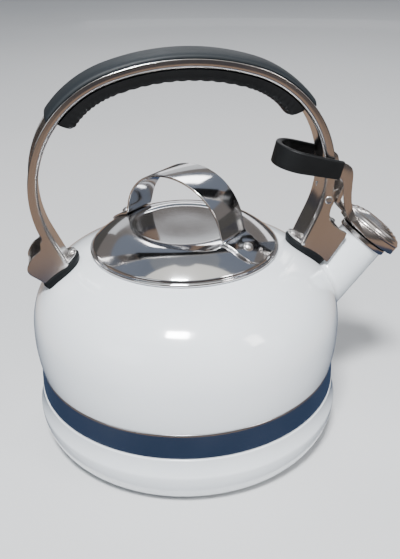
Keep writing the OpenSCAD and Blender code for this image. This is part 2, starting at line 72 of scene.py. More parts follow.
BELLY_R = SHELL_HIGH.x
BELLY_Z = 75.0            # height of the widest line
SHOULDER_RISE = 59.3      # the shoulder is a superellipse of this height and power
SHOULDER_POWER = 2.52
BELLY_FALL = 0.0051       # the belly draws in below its widest line by this much per mm squared
WALL = 1.2
NECK_R = 52.0
NECK_DEPTH = 8.0
BAND_TOP = BAND_HIGH.z + 0.2
SEAT_DEPTH = 1.1          # how far the trim band's seat lies inside the belly's curve
SEAT_R = BELLY_R - BELLY_FALL * (BELLY_Z - BAND_TOP) ** 2 - SEAT_DEPTH
SKIRT_TOP = 35.2
SKIRT_R = 98.7
RIDGE_R = PAN_HIGH.x      # the base's widest line
RIDGE_Z = 23.0
FOOT_R = 87.0
BODY_STEPS = 224          # facets round the body, the band and the lid

LID_R = LID_HIGH.x
LID_Z = 129.7
LID_FLAT_R = 33.0
LID_RISE = 13.8
LID_T = 0.8
STRAP_TURN = math.radians(-48)
STRAP_TOP = STRAP_HIGH.z
STRAP_T = 1.4
STRAP_W = 28.0
STRAP_FOOT_W = 21.0
STRAP_END_X = 48.0    # middle of the strap's round end
ARCH_R = 38.0
ARCH_Z = 143.0
ARCH_POWER = 2.05
RIVET_X = 48.5

SPOUT_ANGLE = math.radians(51)
MOUTH = Vector((121, 0, 124))
SPOUT_R = 16.0
SPOUT_WALL = 1.4

HALF_W = HANDLE_HIGH.y
HANDLE_TOP = 240.7
CROWN_R = 135.0           # the handle's arch: a flat crown, then a tighter side down to each leg
CROWN_TURN = math.radians(18)
SIDE_R = 66.0
LEG_TURN = math.radians(114)
CHANNEL = 6.2             # depth of the channel's flanges
STEEL = 1.3
SOLE_T = 1.6
PAD_T = 4.6
PAD_HALF = 13.2
SCREW_RADII = (71.4, 84)  # from the kettle's axis
SOLE_ANGLE = math.radians(44)
SOLE = Vector((75, 129.2))
FRONT_TURN = math.radians(96)     # where the arch's even channel ends and each boot begins
REAR_TURN = math.radians(109)

PIN = Vector(((PIN_LOW.x + PIN_HIGH.x) / 2, (PIN_LOW.z + PIN_HIGH.z) / 2))
PIN_R = 1.5
ARM_IN = HALF_W + 0.6
ARM_T = 1.6
RING_R = 21.6
RING_LOW = 1.0
RING_TOP = RING_LOW + 5.2
RING_JOIN = math.radians(118)     # half the turn of the ring's front, up to the arms
THUMB_ANGLE = math.radians(14)
THUMB_H = 12.5


# ---------------------------------------------------------------- camera

def add_camera():
    """The camera at the photograph's height, distance and angle."""
    place = Vector((-67.7, -447.9, 337.7)) * MM
    turn = 0.15          # the kettle's turn away from the camera's straight-on view
    pan, pitch, roll = 0.021, 0.4789, -0.0134
    look = Vector((math.sin(pan) * math.cos(pitch), math.cos(pan) * math.cos(pitch), -math.sin(pitch)))
    look = Matrix.Rotation(-turn, 3, "Z") @ look
    right = look.cross(Vector((0, 0, 1))).normalized()
    up = right.cross(look)
    right, up = (math.cos(roll) * right + math.sin(roll) * up,
                 -math.sin(roll) * right + math.cos(roll) * up)
    data = bpy.data.cameras.new("camera")
    data.sensor_fit = "VERTICAL"
    data.sensor_height = 36.0
    data.lens = 50.23
    data.clip_start = 0.01
    camera = bpy.data.objects.new("camera", data)
    basis = Matrix((right, up, -look)).transposed().to_4x4()
    camera.matrix_world = Matrix.Translation(place) @ basis
    bpy.context.scene.collection.objects.link(camera)
    bpy.context.scene.camera = camera


# ---------------------------------------------------------------- materials

def new_material(name):
    """A material with its nodes, its links and its shader."""
    mat = bpy.data.materials.new(name)
    mat.use_nodes = True
    nodes = mat.node_tree.nodes
    shader = nodes["Principled BSDF"]
    return mat, nodes, mat.node_tree.links, shader


def noise(nodes, links, scale, detail, stretch=(1, 1, 1)):
    """A noise texture in object space; stretch makes it streaky."""
    coords = nodes.new("ShaderNodeTexCoord")
    mapping = nodes.new("ShaderNodeMapping")
    mapping.inputs["Scale"].default_value = stretch
    tex = nodes.new("ShaderNodeTexNoise")
    tex.inputs["Scale"].default_value = scale
    tex.inputs["Detail"].default_value = detail
    links.new(coords.outputs["Object"], mapping.inputs["Vector"])
    links.new(mapping.outputs["Vector"], tex.inputs["Vector"])
    return tex.outputs["Fac"]


def ramp(nodes, links, source, low, high, start=0.3, end=0.7):
    """Maps a 0..1 value to a range of numbers or colours."""
    node = nodes.new("ShaderNodeValToRGB")
    node.color_ramp.elements[0].position = start
    node.color_ramp.elements[1].position = end
    for element, value in zip(node.color_ramp.elements, (low, high)):
        element.color = (*value, 1) if isinstance(value, tuple) else (value, value, value, 1)
    links.new(source, node.inputs["Fac"])
    return node.outputs["Color"]


def bump(nodes, links, shader, source, distance, strength):
    """Fine relief on a shader, from a 0..1 value; distance is in metres."""
    node = nodes.new("ShaderNodeBump")
    node.inputs["Strength"].default_value = strength
    node.inputs["Distance"].default_value = distance
    links.new(source, node.inputs["Height"])
    links.new(node.outputs["Normal"], shader.inputs["Normal"])


def enamel_material():
    """Glossy white vitreous enamel: faint orange peel, slight tint changes, a painted cool cast, a glassy
    coat.
    """
    mat, nodes, links, shader = new_material("white_enamel")
    # Both colours are bluer than the enamel's own white: painted cool light, over random tint changes that
    # are the enamel's own.
    tint = ramp(nodes, links, noise(nodes, links, 14, 4), (0.80, 0.835, 0.865), (0.85, 0.88, 0.905))
    links.new(tint, shader.inputs["Base Color"])
    rough = ramp(nodes, links, noise(nodes, links, 90, 3), 0.10, 0.20)
    links.new(rough, shader.inputs["Roughness"])
    shader.inputs["Coat Weight"].default_value = 0.7
    shader.inputs["Coat Roughness"].default_value = 0.06
    peel = noise(nodes, links, 260, 2)
    bump(nodes, links, shader, peel, 0.00006, 0.35)
    return mat


def steel_material(name, color, rough, streak=(1, 1, 1)):
    """Polished stainless steel: near-mirror, with polishing streaks and faint smudges."""
    wear = 0.5      # how much of the roughness comes from the streaks
    mat, nodes, links, shader = new_material(name)
    shader.inputs["Metallic"].default_value = 1.0
    smudge = noise(nodes, links, 22, 5)
    dim = tuple(c * 0.90 for c in color)
    links.new(ramp(nodes, links, smudge, dim, color, 0.25, 0.6), shader.inputs["Base Color"])
    streaks = noise(nodes, links, 420, 2, streak)
    total = nodes.new("ShaderNodeMath")
    total.operation = "MULTIPLY_ADD"
    links.new(streaks, total.inputs[0])
    total.inputs[1].default_value = wear * rough
    links.new(ramp(nodes, links, smudge, rough * 0.7, rough * 1.6), total.inputs[2])
    links.new(total.outputs[0], shader.inputs["Roughness"])
    bump(nodes, links, shader, streaks, 0.00001, 0.25)
    return mat


def plastic_material(name, color, rough, specular=0.3, grain=900):
    """Moulded plastic with a fine spark-eroded grain and slightly worn, shinier patches."""
    mat, nodes, links, shader = new_material(name)
    patches = noise(nodes, links, 30, 4)
    lighter = tuple(c * 1.25 + 0.002 for c in color)
    links.new(ramp(nodes, links, patches, color, lighter), shader.inputs["Base Color"])
    links.new(ramp(nodes, links, patches, rough * 1.08, rough * 0.88), shader.inputs["Roughness"])
    shader.inputs["Specular IOR Level"].default_value = specular
    bump(nodes, links, shader, noise(nodes, links, grain, 2), 0.00004, 0.6)
    return mat


def floor_material():
    """A pale matt floor with a faint cloudiness."""
    mat, nodes, links, shader = new_material("floor")
    cloud = ramp(nodes, links, noise(nodes, links, 1.5, 3), (0.60, 0.605, 0.61), (0.64, 0.64, 0.64))
    links.new(cloud, shader.inputs["Base Color"])
    shader.inputs["Roughness"].default_value = 0.75
    return mat


MATS = {
    "white_enamel": enamel_material(),
    "trim_steel": steel_material("trim_steel", (0.66, 0.67, 0.69), 0.13, (1, 1, 14)),
    "handle_steel": steel_material("handle_steel", (0.64, 0.62, 0.605), 0.12, (4, 1, 1)),
    "lever_steel": steel_material("lever_steel", (0.64, 0.61, 0.59), 0.15, (1, 1, 4)),
    "lid_steel": steel_material("lid_steel", (0.70, 0.70, 0.71), 0.07),
    "spout_steel": steel_material("spout_steel", (0.64, 0.62, 0.605), 0.13),
    "fastener_steel": steel_material("fastener_steel", (0.58, 0.57, 0.56), 0.22, (1, 6, 1)),
    "spring_steel": steel_material("spring_steel", (0.36, 0.36, 0.37), 0.30),
    "upper_grip": plastic_material("upper_grip", (0.007, 0.010, 0.0125), 0.58),
    "lower_grip": plastic_material("lower_grip", (0.005, 0.0055, 0.006), 0.50, 0.18),
    "thumb_grip": plastic_material("thumb_grip", (0.005, 0.0055, 0.006), 0.46, 0.18),
    "gasket_rubber": plastic_material("gasket_rubber", (0.004, 0.005, 0.006), 0.60, 0.14, 600),
}
SLOT_OF = {s["node"]: s["material_slot"] for s in frame["record"]["subparts"]}


# ---------------------------------------------------------------- mesh helpers

def make_piece(name, verts, faces, slot, body, nodes=(), sharp=40):
    """A mesh piece in millimetres, made into metres, with its material, body and CAD nodes."""
    mesh = bpy.data.meshes.new(name)
    mesh.from_pydata([Vector(v) * MM for v in verts], [], faces)
    mesh.validate()
    bm = bmesh.new()
    bm.from_mesh(mesh)
    bmesh.ops.remove_doubles(bm, verts=bm.verts, dist=1e-6)
    bmesh.ops.recalc_face_normals(bm, faces=bm.faces)
    bm.to_mesh(mesh)
    bm.free()
    for poly in mesh.polygons:
        poly.use_smooth = True
    mesh.set_sharp_from_angle(angle=math.radians(sharp))
    mesh.materials.append(MATS[slot])
    piece = bpy.data.objects.new(name, mesh)
    bpy.context.scene.collection.objects.link(piece)
    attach(piece, body)
    if nodes:
        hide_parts(*nodes)
    return piece


def arc(centre, radius, a0, a1, n):
    """Points along an arc, with angles in radians measured from upright towards +X."""
    return [(centre[0] + radius * math.sin(a0 + (a1 - a0) * i / n),
             centre[1] + radius * math.cos(a0 + (a1 - a0) * i / n)) for i in range(n + 1)]


def rounded(points, radii, n=5, closed=True):
    """A polygon or line with its corners rounded; radii is one number or one per point."""
    count = len(points)
    if not isinstance(radii, (list, tuple)):
        radii = [radii] * count
    out = []
    for i, p in enumerate(points):
        if not closed and i in (0, count - 1) or radii[i] <= 0:
            out.append(tuple(p))
            continue
        here = Vector(p)
        back = Vector(points[i - 1]) - here
        ahead = Vector(points[(i + 1) % count]) - here
        reach = min(radii[i], back.length * 0.49, ahead.length * 0.49)
        a, b = here + back.normalized() * reach, here + ahead.normalized() * reach
        for k in range(n + 1):
            t = k / n
            q = a * (1 - t) ** 2 + here * 2 * t * (1 - t) + b * t ** 2
            out.append(tuple(q))
    return out


def grid_faces(rows, cols, close_rows=False, close_cols=False):
    """Faces of a grid of vertices that run row by row."""
    faces = []
    for i in range(rows if close_rows else rows - 1):
        for j in range(cols if close_cols else cols - 1):
            a, b = i * cols + j, i * cols + (j + 1) % cols
            c, d = ((i + 1) % rows) * cols + (j + 1) % cols, ((i + 1) % rows) * cols + j
            faces.append((a, b, c, d))
    return faces


def lathe(profile, segments, place=Matrix.Identity(4), closed=True):
    """Vertices and faces of a profile of (radius, height) points turned about Z."""
    verts = []
    for r, z in profile:
        for k in range(segments):
            a = 2 * math.pi * k / segments
            verts.append(place @ Vector((r * math.cos(a), r * math.sin(a), z)))
    faces = grid_faces(len(profile), segments, close_rows=closed, close_cols=True)
    return verts, faces


def sweep(sections):
    """Vertices and faces of a solid through closed sections, each an equal list of 3-D points."""
    rows, cols = len(sections), len(sections[0])
    verts = [p for s in sections for p in s]
    faces = grid_faces(rows, cols, close_cols=True)
    faces.append(tuple(range(cols)))
    faces.append(tuple(reversed(range((rows - 1) * cols, rows * cols))))
    return verts, faces


def joined(*parts):
    """Several (verts, faces) pairs as one."""
    verts, faces = [], []
    for v, f in parts:
        base = len(verts)
        verts += list(v)
        faces += [tuple(i + base for i in face) for face in f]
    return verts, faces


def prism(outline, y0, y1):
    """A side outline of (x, z) points as a plate between two Y positions."""
    n = len(outline)
    verts = [(x, y0, z) for x, z in outline] + [(x, y1, z) for x, z in outline]
    faces = [tuple(range(n)), tuple(reversed(range(n, 2 * n)))]
    faces += [(i, (i + 1) % n, n + (i + 1) % n, n + i) for i in range(n)]
    return verts, faces


def soften_edges(piece, width):
    """Rounds a piece's sharp edges by a width in millimetres."""
    bevel = piece.modifiers.new("edges", "BEVEL")
    bevel.width = width * MM
    bevel.segments = 2
    bevel.limit_method = "ANGLE"
    bevel.angle_limit = math.radians(35)
    bevel.harden_normals = True


def ahead_at(line, i):
    """Unit direction of a line of vectors at its point i."""
    return (line[min(i + 1, len(line) - 1)] - line[max(i - 1, 0)]).normalized()


def meet(low, high, inside, steps=40):
    """The number between low and high up to which inside() holds, by halving."""
    for _ in range(steps):
        mid = (low + high) / 2
        if inside(mid):
            low = mid
        else:
            high = mid
    return low, high


def catmull(points, n):
    """A smooth curve through points, n steps between each pair."""
    pts = [Vector(p) for p in points]
    pts = [2 * pts[0] - pts[1]] + pts + [2 * pts[-1] - pts[-2]]
    out = []
    for i in range(1, len(pts) - 2):
        p0, p1, p2, p3 = pts[i - 1:i + 3]
        for k in range(n):
            t = k / n
            out.append(0.5 * (2 * p1 + (p2 - p0) * t + (2 * p0 - 5 * p1 + 4 * p2 - p3) * t ** 2
                              + (3 * p1 - p0 - 3 * p2 + p3) * t ** 3))
    out.append(pts[-2])
    return out


# ---------------------------------------------------------------- shared curves

def shoulder(d, r_top, n):
    """The shoulder, grown by d, from the belly line up to the radius r_top."""
    top = math.acos((r_top / (BELLY_R + d)) ** (SHOULDER_POWER / 2))
    out = []
    for i in range(n + 1):
        t = top * i / n
        out.append(((BELLY_R + d) * math.cos(t) ** (2 / SHOULDER_POWER),
                    BELLY_Z + (SHOULDER_RISE + d) * math.sin(t) ** (2 / SHOULDER_POWER)))
    return out


def shoulder_z(r, d=0.0):
    """Height of the shoulder, grown by d, at the radius r."""
    rest = max(0, 1 - (r / (BELLY_R + d)) ** SHOULDER_POWER)
    return BELLY_Z + (SHOULDER_RISE + d) * rest ** (1 / SHOULDER_POWER)


def body_r(z):
    """Radius of the body's outer surface at a height."""
    if z <= BELLY_Z:
        return BELLY_R - BELLY_FALL * (BELLY_Z - z) ** 2
    return BELLY_R * (1 - ((z - BELLY_Z) / SHOULDER_RISE) ** SHOULDER_POWER) ** (1 / SHOULDER_POWER)


def belly(d, z0, n):
    """The belly, grown by d, from the height z0 up to its widest line."""
    return [(BELLY_R + d - BELLY_FALL * (BELLY_Z - z) ** 2, z)
            for z in (z0 + (BELLY_Z - z0) * i / n for i in range(n))]


def lid_top(r):
    """Height of the lid's dome at the radius r."""
    return LID_Z + LID_RISE * (1 - ((r - LID_FLAT_R) / (LID_R - LID_FLAT_R)) ** 2)


CROWN_C = Vector((0, HANDLE_TOP - CROWN_R))
SIDE_C = CROWN_C + (CROWN_R - SIDE_R) * Vector((math.sin(CROWN_TURN), math.cos(CROWN_TURN)))


def handle_point(a, d):
    """Point on the handle at the angle a from upright, the distance d outside its inner face."""
    s, b = (-1 if a < 0 else 1), abs(a)
    if b <= CROWN_TURN:
        return Vector((s * (CROWN_R + d) * math.sin(b), CROWN_C.y + (CROWN_R + d) * math.cos(b)))
    return Vector((s * (SIDE_C.x + (SIDE_R + d) * math.sin(b)), SIDE_C.y + (SIDE_R + d) * math.cos(b)))


def foot(u, n):
    """A point given along the front sole (u) and above it (n)."""
    c, s = math.cos(SOLE_ANGLE), math.sin(SOLE_ANGLE)
    return SOLE + Vector((u * c + n * s, -u * s + n * c))


def at_spout(s, p):
    """(x, z) of a point along the spout's axis (s) and across it (p, away from the handle)."""
    c, n = math.cos(SPOUT_ANGLE), math.sin(SPOUT_ANGLE)
    return Vector((MOUTH.x + s * c + p * n, MOUTH.z + s * n - p * c))


MOUTH_FRAME = Matrix.Translation(MOUTH) @ Matrix.Rotation(math.pi / 2 - SPOUT_ANGLE, 4, "Y")


# ---------------------------------------------------------------- body

def add_body():
    """The enamelled shell with its turned-in neck, the bottom pan and the trim band."""
    lip_r = NECK_R + WALL
    top_z = shoulder_z(lip_r)
    neck_z = top_z - NECK_DEPTH
    outer = [(SEAT_R, SKIRT_TOP), (SEAT_R, BAND_TOP - 0.3)]
    outer += rounded([(SEAT_R, BAND_TOP)] + belly(0, BAND_TOP, 10), [0, 0.5] + [0] * 9, 3, closed=False)
    outer += shoulder(0, lip_r + 1.2, 70)
    outer += arc((lip_r + 0.9, top_z - 1.5), 1.45, math.radians(10), math.radians(-90), 6)
    inner = [(NECK_R, neck_z + 0.4), (NECK_R + 0.3, neck_z), (lip_r - 0.2, neck_z),
             (lip_r, shoulder_z(lip_r, -WALL) - 0.5)]
    inner += list(reversed(shoulder(-WALL, lip_r + 1, 50)))
    inner += list(reversed(belly(-WALL - 0.5, BAND_TOP + 3, 8)))
    inner += [(SEAT_R - WALL, BAND_TOP), (SEAT_R - WALL, SKIRT_TOP)]
    shell = lathe(outer + inner, BODY_STEPS)
    make_piece("enamel_shell", *shell, "white_enamel", "kettle", ["upper_shell"], 50)

    t = WALL + 0.2
    side = [(FOOT_R + (RIDGE_R - FOOT_R) * math.sin(a), RIDGE_Z * (1 - math.cos(a)))
            for a in (math.pi / 2 * i / 24 for i in range(25))]
    skirt_rise = SKIRT_TOP - 1.0 - RIDGE_Z
    side += [(SKIRT_R + (RIDGE_R - SKIRT_R) * (1 - k / 16) ** 2, RIDGE_Z + skirt_rise * k / 16)
             for k in range(1, 17)]
    lip = arc((SKIRT_R - 0.9, SKIRT_TOP - 0.9), 0.9, math.pi / 2, 0, 5)
    rim_r = SEAT_R - WALL
    inside = [(rim_r + 0.3, SKIRT_TOP), (rim_r, SKIRT_TOP + 0.2), (rim_r, BAND_TOP - 4),
              (rim_r - WALL, BAND_TOP - 4), (rim_r - WALL, SKIRT_TOP - t), (SKIRT_R - t, SKIRT_TOP - t)]
    inside += [(r - t, z) for r, z in reversed(side) if t + 0.4 < z < SKIRT_TOP - t]
    outline = [(0, 0)] + side + lip + inside + [(FOOT_R - t, t), (0, t)]
    pan = lathe(outline, BODY_STEPS, closed=False)
    make_piece("enamel_pan", *pan, "white_enamel", "kettle", ["bottom_pan"], 50)

    # The band's face leans in a little towards its top and is faintly crowned.
    edge, crown = 0.4, 0.25
    back_r = SEAT_R + 0.02
    r0, r1 = SKIRT_R - 0.45, SEAT_R + 1.0
    height = BAND_HIGH.z - BAND_LOW.z - 2 * edge
    face = [(back_r, BAND_LOW.z), (r0 - 0.3, BAND_LOW.z)]
    face += [(r0 + (r1 - r0) * k / 12 + crown * math.sin(math.pi * k / 12),
              BAND_LOW.z + edge + height * k / 12) for k in range(13)]
    face += [(r1 - 0.4, BAND_HIGH.z), (back_r, BAND_HIGH.z)]
    make_piece("polished_band", *lathe(face, BODY_STEPS), "trim_steel", "kettle", ["trim_band"], 50)


def add_spout():
    """The spout tube with its blended root, and the rolled collar at its mouth."""
    n = 96
    reach = 5.0         # how far the root's blend spreads over the body and up the tube
    end = -0.45         # where the tube ends inside the collar
    bore_r = SPOUT_R - SPOUT_WALL
    to_mouth = MOUTH_FRAME.inverted()

    def on_tube(a, s, r=SPOUT_R):
        return MOUTH_FRAME @ Vector((r * math.cos(a), r * math.sin(a), s))

    def body_r_at(p):
        return body_r(min(p.z, BELLY_Z + SHOULDER_RISE - 0.01))

    def root(a, r):
        """How far along the axis a line of the tube leaves the body."""
        def sunk(s):
            p = on_tube(a, s, r)
            return math.hypot(p.x, p.y) <= body_r_at(p)

        return meet(-60.0, -2.0, sunk)[1]

    def onto_body(p):
        scale = body_r_at(p) / math.hypot(p.x, p.y)
        return Vector((p.x * scale, p.y * scale, p.z))

    columns = []
    for k in range(n):
        a = 2 * math.pi * k / n
        s0 = root(a, SPOUT_R)
        start = on_tube(a, s0)
        rho = math.hypot(start.x, start.y)
        slope = (body_r(start.z + 0.2) - body_r(start.z - 0.2)) / 0.4
        normal = Vector((start.x / rho, start.y / rho, -slope)).normalized()
        away = MOUTH_FRAME.to_3x3() @ Vector((math.cos(a), math.sin(a), 0))
        away = (away - away.dot(normal) * normal).normalized()
        foot_point = onto_body(start + away * reach)
        neck_point = on_tube(a, min(s0 + reach, -5.0))
        column = []
        for i in range(9):
            t = i / 8
            column.append(foot_point * (1 - t) ** 2 + start * 2 * t * (1 - t) + neck_point * t ** 2)
        s1 = (to_mouth @ neck_point).z
        column += [on_tube(a, s1 + (end - s1) * i / 5) for i in range(1, 6)]
        column += [on_tube(a, end + (root(a, bore_r) - end) * i / 4, bore_r) for i in range(5)]
        columns.append(column)
    verts = [p for column in columns for p in column]
    faces = grid_faces(n, len(columns[0]), close_rows=True, close_cols=True)
    make_piece("enamel_spout", verts, faces, "white_enamel", "kettle", ["spout_tube"], 50)

    r = SPOUT_R
    ring = rounded([(r + 0.03, -3.6), (r + 0.9, -3.6), (r + 1.4, -3.0), (r + 1.4, -0.4), (r + 0.6, 0.5),
                    (r - 1.4, 0.5), (r - 2.2, 0), (r - 2.2, -2.4), (r - 1.45, -2.4),
                    (r - 1.45, -0.42), (r + 0.03, -0.42)],
                   [0, 0.4, 0.6, 0.6, 0.9, 0.6, 0.5, 0.2, 0, 0, 0], 5)
    collar = lathe(ring, 128, MOUTH_FRAME)
    make_piece("rolled_collar", *collar, "spout_steel", "kettle", ["spout_collar"], 50)


# ---------------------------------------------------------------- lid

def lid_profile():
    """The lid from its sunk flat centre over the dome and the rolled rim, and back underneath."""
    edge = LID_Z + LID_RISE
    flat = edge - 1.5
    shoulder_r = LID_FLAT_R + 1.2
    line = [(0, flat)]
    line += [(r, flat + 0.35 * (r / 30) ** 4) for r in (6, 12, 18, 24, 28, 30)]
    line += rounded([(30.6, edge - 1.1), (LID_FLAT_R - 0.7, edge - 0.05), (shoulder_r, lid_top(shoulder_r))],
                    [0, 0.9, 0], 5, False)
    dome = [LID_FLAT_R + 1.5 + (LID_R - LID_FLAT_R - 3.4) * i / 40 for i in range(41)]
    line += [(r, lid_top(r)) for r in dome]
    groove_r = LID_R - 1.75
    line += [(groove_r, lid_top(groove_r) - 0.35)]
    roll_r = 1.15
    line += arc((LID_R - roll_r, LID_Z - 0.55), roll_r, math.radians(-25), math.radians(180), 14)
    inner_r = LID_R - 3.6
    line += [(LID_R - 2.6, LID_Z - 1.65), (LID_R - 3.4, LID_Z - 0.9), (inner_r, lid_top(inner_r) - LID_T)]
    line += [(r, lid_top(r) - LID_T) for r in (54, 50, 46, 42, 38, 35)]
    line += [(LID_FLAT_R - 2, edge - 2.0), (28, flat - LID_T), (0, flat - LID_T)]
    return line


def strap_line():
    """Half of the strap's outer face as (x, z) points: the arch, a tight bend and the foot."""
    power = 2 / ARCH_POWER
    line = []
    for i in range(61):
        q = math.radians(90 - 78 * i / 60)
        line.append((ARCH_R * math.cos(q) ** power, ARCH_Z + (STRAP_TOP - ARCH_Z) * math.sin(q) ** power))
    arch_count = len(line)
    bend_x = ARCH_R + 0.8
    line.append((bend_x, lid_top(bend_x) + STRAP_T + 0.1))
    half = STRAP_FOOT_W / 2
    foot_x = [bend_x + (STRAP_END_X - bend_x) * k / 8 for k in range(3, 9)]
    foot_x += [STRAP_END_X + half * math.sin(math.radians(86 * k / 12)) for k in range(1, 13)]
    line += [(x, lid_top(x) + STRAP_T) for x in foot_x]
    radii = [0] * arch_count + [3.0] + [0] * len(foot_x)
    return rounded(line, radii, 8, closed=False)


def strap_half(x):
    """Half of the strap's width at the distance x from its middle."""
    half = STRAP_FOOT_W / 2
    if x > STRAP_END_X:
        return math.sqrt(max(0.05, half ** 2 - (x - STRAP_END_X) ** 2))
    taper_end = 46
    return half + (STRAP_W - STRAP_FOOT_W) / 2 * max(0.0, 1 - (x / taper_end) ** 2) ** 0.9


def add_lid():
    """The lid with its rolled rim, the strap over it, and the strap's two rivets."""
    lid = lathe(lid_profile(), BODY_STEPS, closed=False)
    make_piece("polished_lid", *lid, "lid_steel", "lid", ["lid_shell"], 50)

    turn = Matrix.Rotation(STRAP_TURN, 3, "Z")
    side = strap_line()
    line = [Vector(p) for p in [(-x, z) for x, z in reversed(side[1:])] + side]
    sections = []
    for i, p in enumerate(line):
        along = ahead_at(line, i)
        normal = Vector((-along.y, along.x))
        half = strap_half(abs(p.x))
        rim = min(0.4, half * 0.3)
        loop = rounded([(-half, 0), (half, 0), (half, -STRAP_T), (-half, -STRAP_T)], rim, 3)
        sections.append([turn @ Vector((p.x + normal.x * d, y, p.y + normal.y * d)) for y, d in loop])
    make_piece("lid_strap_band", *sweep(sections), "lid_steel", "lid", ["lid_strap"], 45)

    slope = math.atan(2 * LID_RISE * (RIVET_X - LID_FLAT_R) / (LID_R - LID_FLAT_R) ** 2)
    dome = [(0, 1.95), (0.9, 1.88), (1.8, 1.55), (2.6, 0.95), (3.1, 0.25), (3.15, -0.1), (1.6, -0.1)]
    rivet = [(r, STRAP_T + z) for r, z in dome]
    rivet += [(1.6, -0.9), (2.6, -0.9), (2.6, -1.7), (2.3, -2.0), (0, -2.0)]
    on_lid = Matrix.Translation((RIVET_X, 0, lid_top(RIVET_X))) @ Matrix.Rotation(slope, 4, "Y")
    parts = []
    for half_turn in (0, math.pi):
        place = Matrix.Rotation(STRAP_TURN + half_turn, 4, "Z") @ on_lid
        parts.append(lathe(rivet, 48, place, closed=False))
    make_piece("domed_rivets", *joined(*parts), "fastener_steel", "lid", ["lid_rivets"], 50)


# ---------------------------------------------------------------- handle

def leg_web(along):
    """Point on the handle's inner face, the distance along past the start of a straight leg."""
    if along < 0:
        return handle_point(LEG_TURN + along / SIDE_R, 0)
    return handle_point(LEG_TURN, 0) + along * Vector((math.cos(LEG_TURN), -math.sin(LEG_TURN)))


def on_pad(start, end):
    """Where the line from start through end, both (x, z), meets the pad's upper surface."""
    def above(t):
        p = start + (end - start) * t
        return p.y > shoulder_z(math.hypot(p.x, HALF_W), PAD_T)

    return start + (end - start) * meet(0.0, 2.5, above)[0]


def foot_stations(edge_points, start_angle):
    """Pairs of (web point, flange edge point) down one boot, from the side to the sole's end."""
    edge = catmull(edge_points, 6)
    heel = on_pad(leg_web(0), leg_web(14))
    start = (start_angle - LEG_TURN) * SIDE_R
    end = (heel - leg_web(0)).length
    sums = [0.0]
    for p, q in zip(edge, edge[1:]):
        sums.append(sums[-1] + (q - p).length)
    web_done = sums[-1] * 0.62      # from here on the web point stays at the heel
    out = []
    for edge_point, run in zip(edge, sums):
        share = min(1.0, run / web_done)
        out.append((leg_web(start + (end - start) * share), edge_point))
    return out


def foot_loop(x_in, half, u_out, d, inset, corner):
    """Outline of a foot plate on the body's surface grown by d, drawn in by inset."""
    def x_out(y):
        def short(x):
            z = shoulder_z(math.hypot(x, y), d)
            return (x - SOLE.x) * math.cos(SOLE_ANGLE) - (z - SOLE.y) * math.sin(SOLE_ANGLE) < u_out

        return meet(70.0, 99.0, short, 30)[0]

    h = half - inset
    mid_x = x_in + half
    end = []
    for k in range(-12, 13):
        y = h * math.sin(math.pi / 2 * k / 12)
        over = max(0.0, abs(y) - (half - corner)) if corner else 0.0
        cut = corner - math.sqrt(max(0.0, corner ** 2 - over ** 2)) if corner else 0.0
        end.append((max(mid_x, x_out(y) - inset - cut), y))
    far = end[-1][0]
    plan = end + [(far + (mid_x - far) * k / 8, h) for k in range(1, 8)]
    plan += [(mid_x + h * math.cos(a), h * math.sin(a))
             for a in (math.radians(90 + 7.5 * k) for k in range(25))]
    plan += [(mid_x + (far - mid_x) * k / 8, -h) for k in range(1, 8)]
    return [Vector((x, y, shoulder_z(math.hypot(x, y), d))) for x, y in plan]


def foot_plate(side, x_in, half, u_out, low, high, rim, corner):
    """A plate that follows the shoulder between two distances from it, with a soft upper rim."""
    insides = [half * f for f in (0.97, 0.75, 0.5, 0.25)]
    levels = [(low, i) for i in insides] + [(low, 0.0), (high - rim, 0.0)]
    levels += [(high - rim * (1 - math.sin(q)), rim * (1 - math.cos(q)))
               for q in (math.pi / 8 * k for k in (1, 2, 3, 4))]
    levels += [(high, i) for i in reversed(insides)]
    loops = [foot_loop(x_in, half, u_out, d, inset, corner) for d, inset in levels]
    return sweep([[Vector((side * p.x, p.y, p.z)) for p in loop] for loop in loops])


def channel_section(web, edge):
    """A closed section of the bent steel sheet: two flanges, two soft bends and the web."""
    bend_r = 3.2
    tip = 0.35
    out = edge - web
    length = max(out.length, bend_r + 1)
    out = out.normalized()

    def side(inset, radius):
        """One face of a flange; a point close to its edge keeps the shading flat up to there."""
        flat, bend = length - tip, radius + inset
        line = [(flat, -HALF_W + inset), (flat - 0.4, -HALF_W + inset)]
        line += [(bend + (flat - bend) * k / 4, -HALF_W + inset) for k in (3, 2, 1, 0)]
        for k in range(1, 7):
            q = math.pi / 2 * k / 6
            line.append((inset + radius * (1 - math.sin(q)), -HALF_W + inset + radius * (1 - math.cos(q))))
        return line

    outer = [(length, -HALF_W + tip)] + side(0, bend_r)
    inner = [(length, -HALF_W + STEEL - tip)] + side(STEEL, bend_r - STEEL)
    middle = [(0, y) for y in (-5, 0, 5)]
    loop = outer + middle + [(d, -y) for d, y in reversed(outer)]
    loop += [(d, -y) for d, y in inner] + [(STEEL, -y) for _, y in middle] + list(reversed(inner))
    return [Vector((web.x + out.x * d, y, web.y + out.y * d)) for d, y in loop]


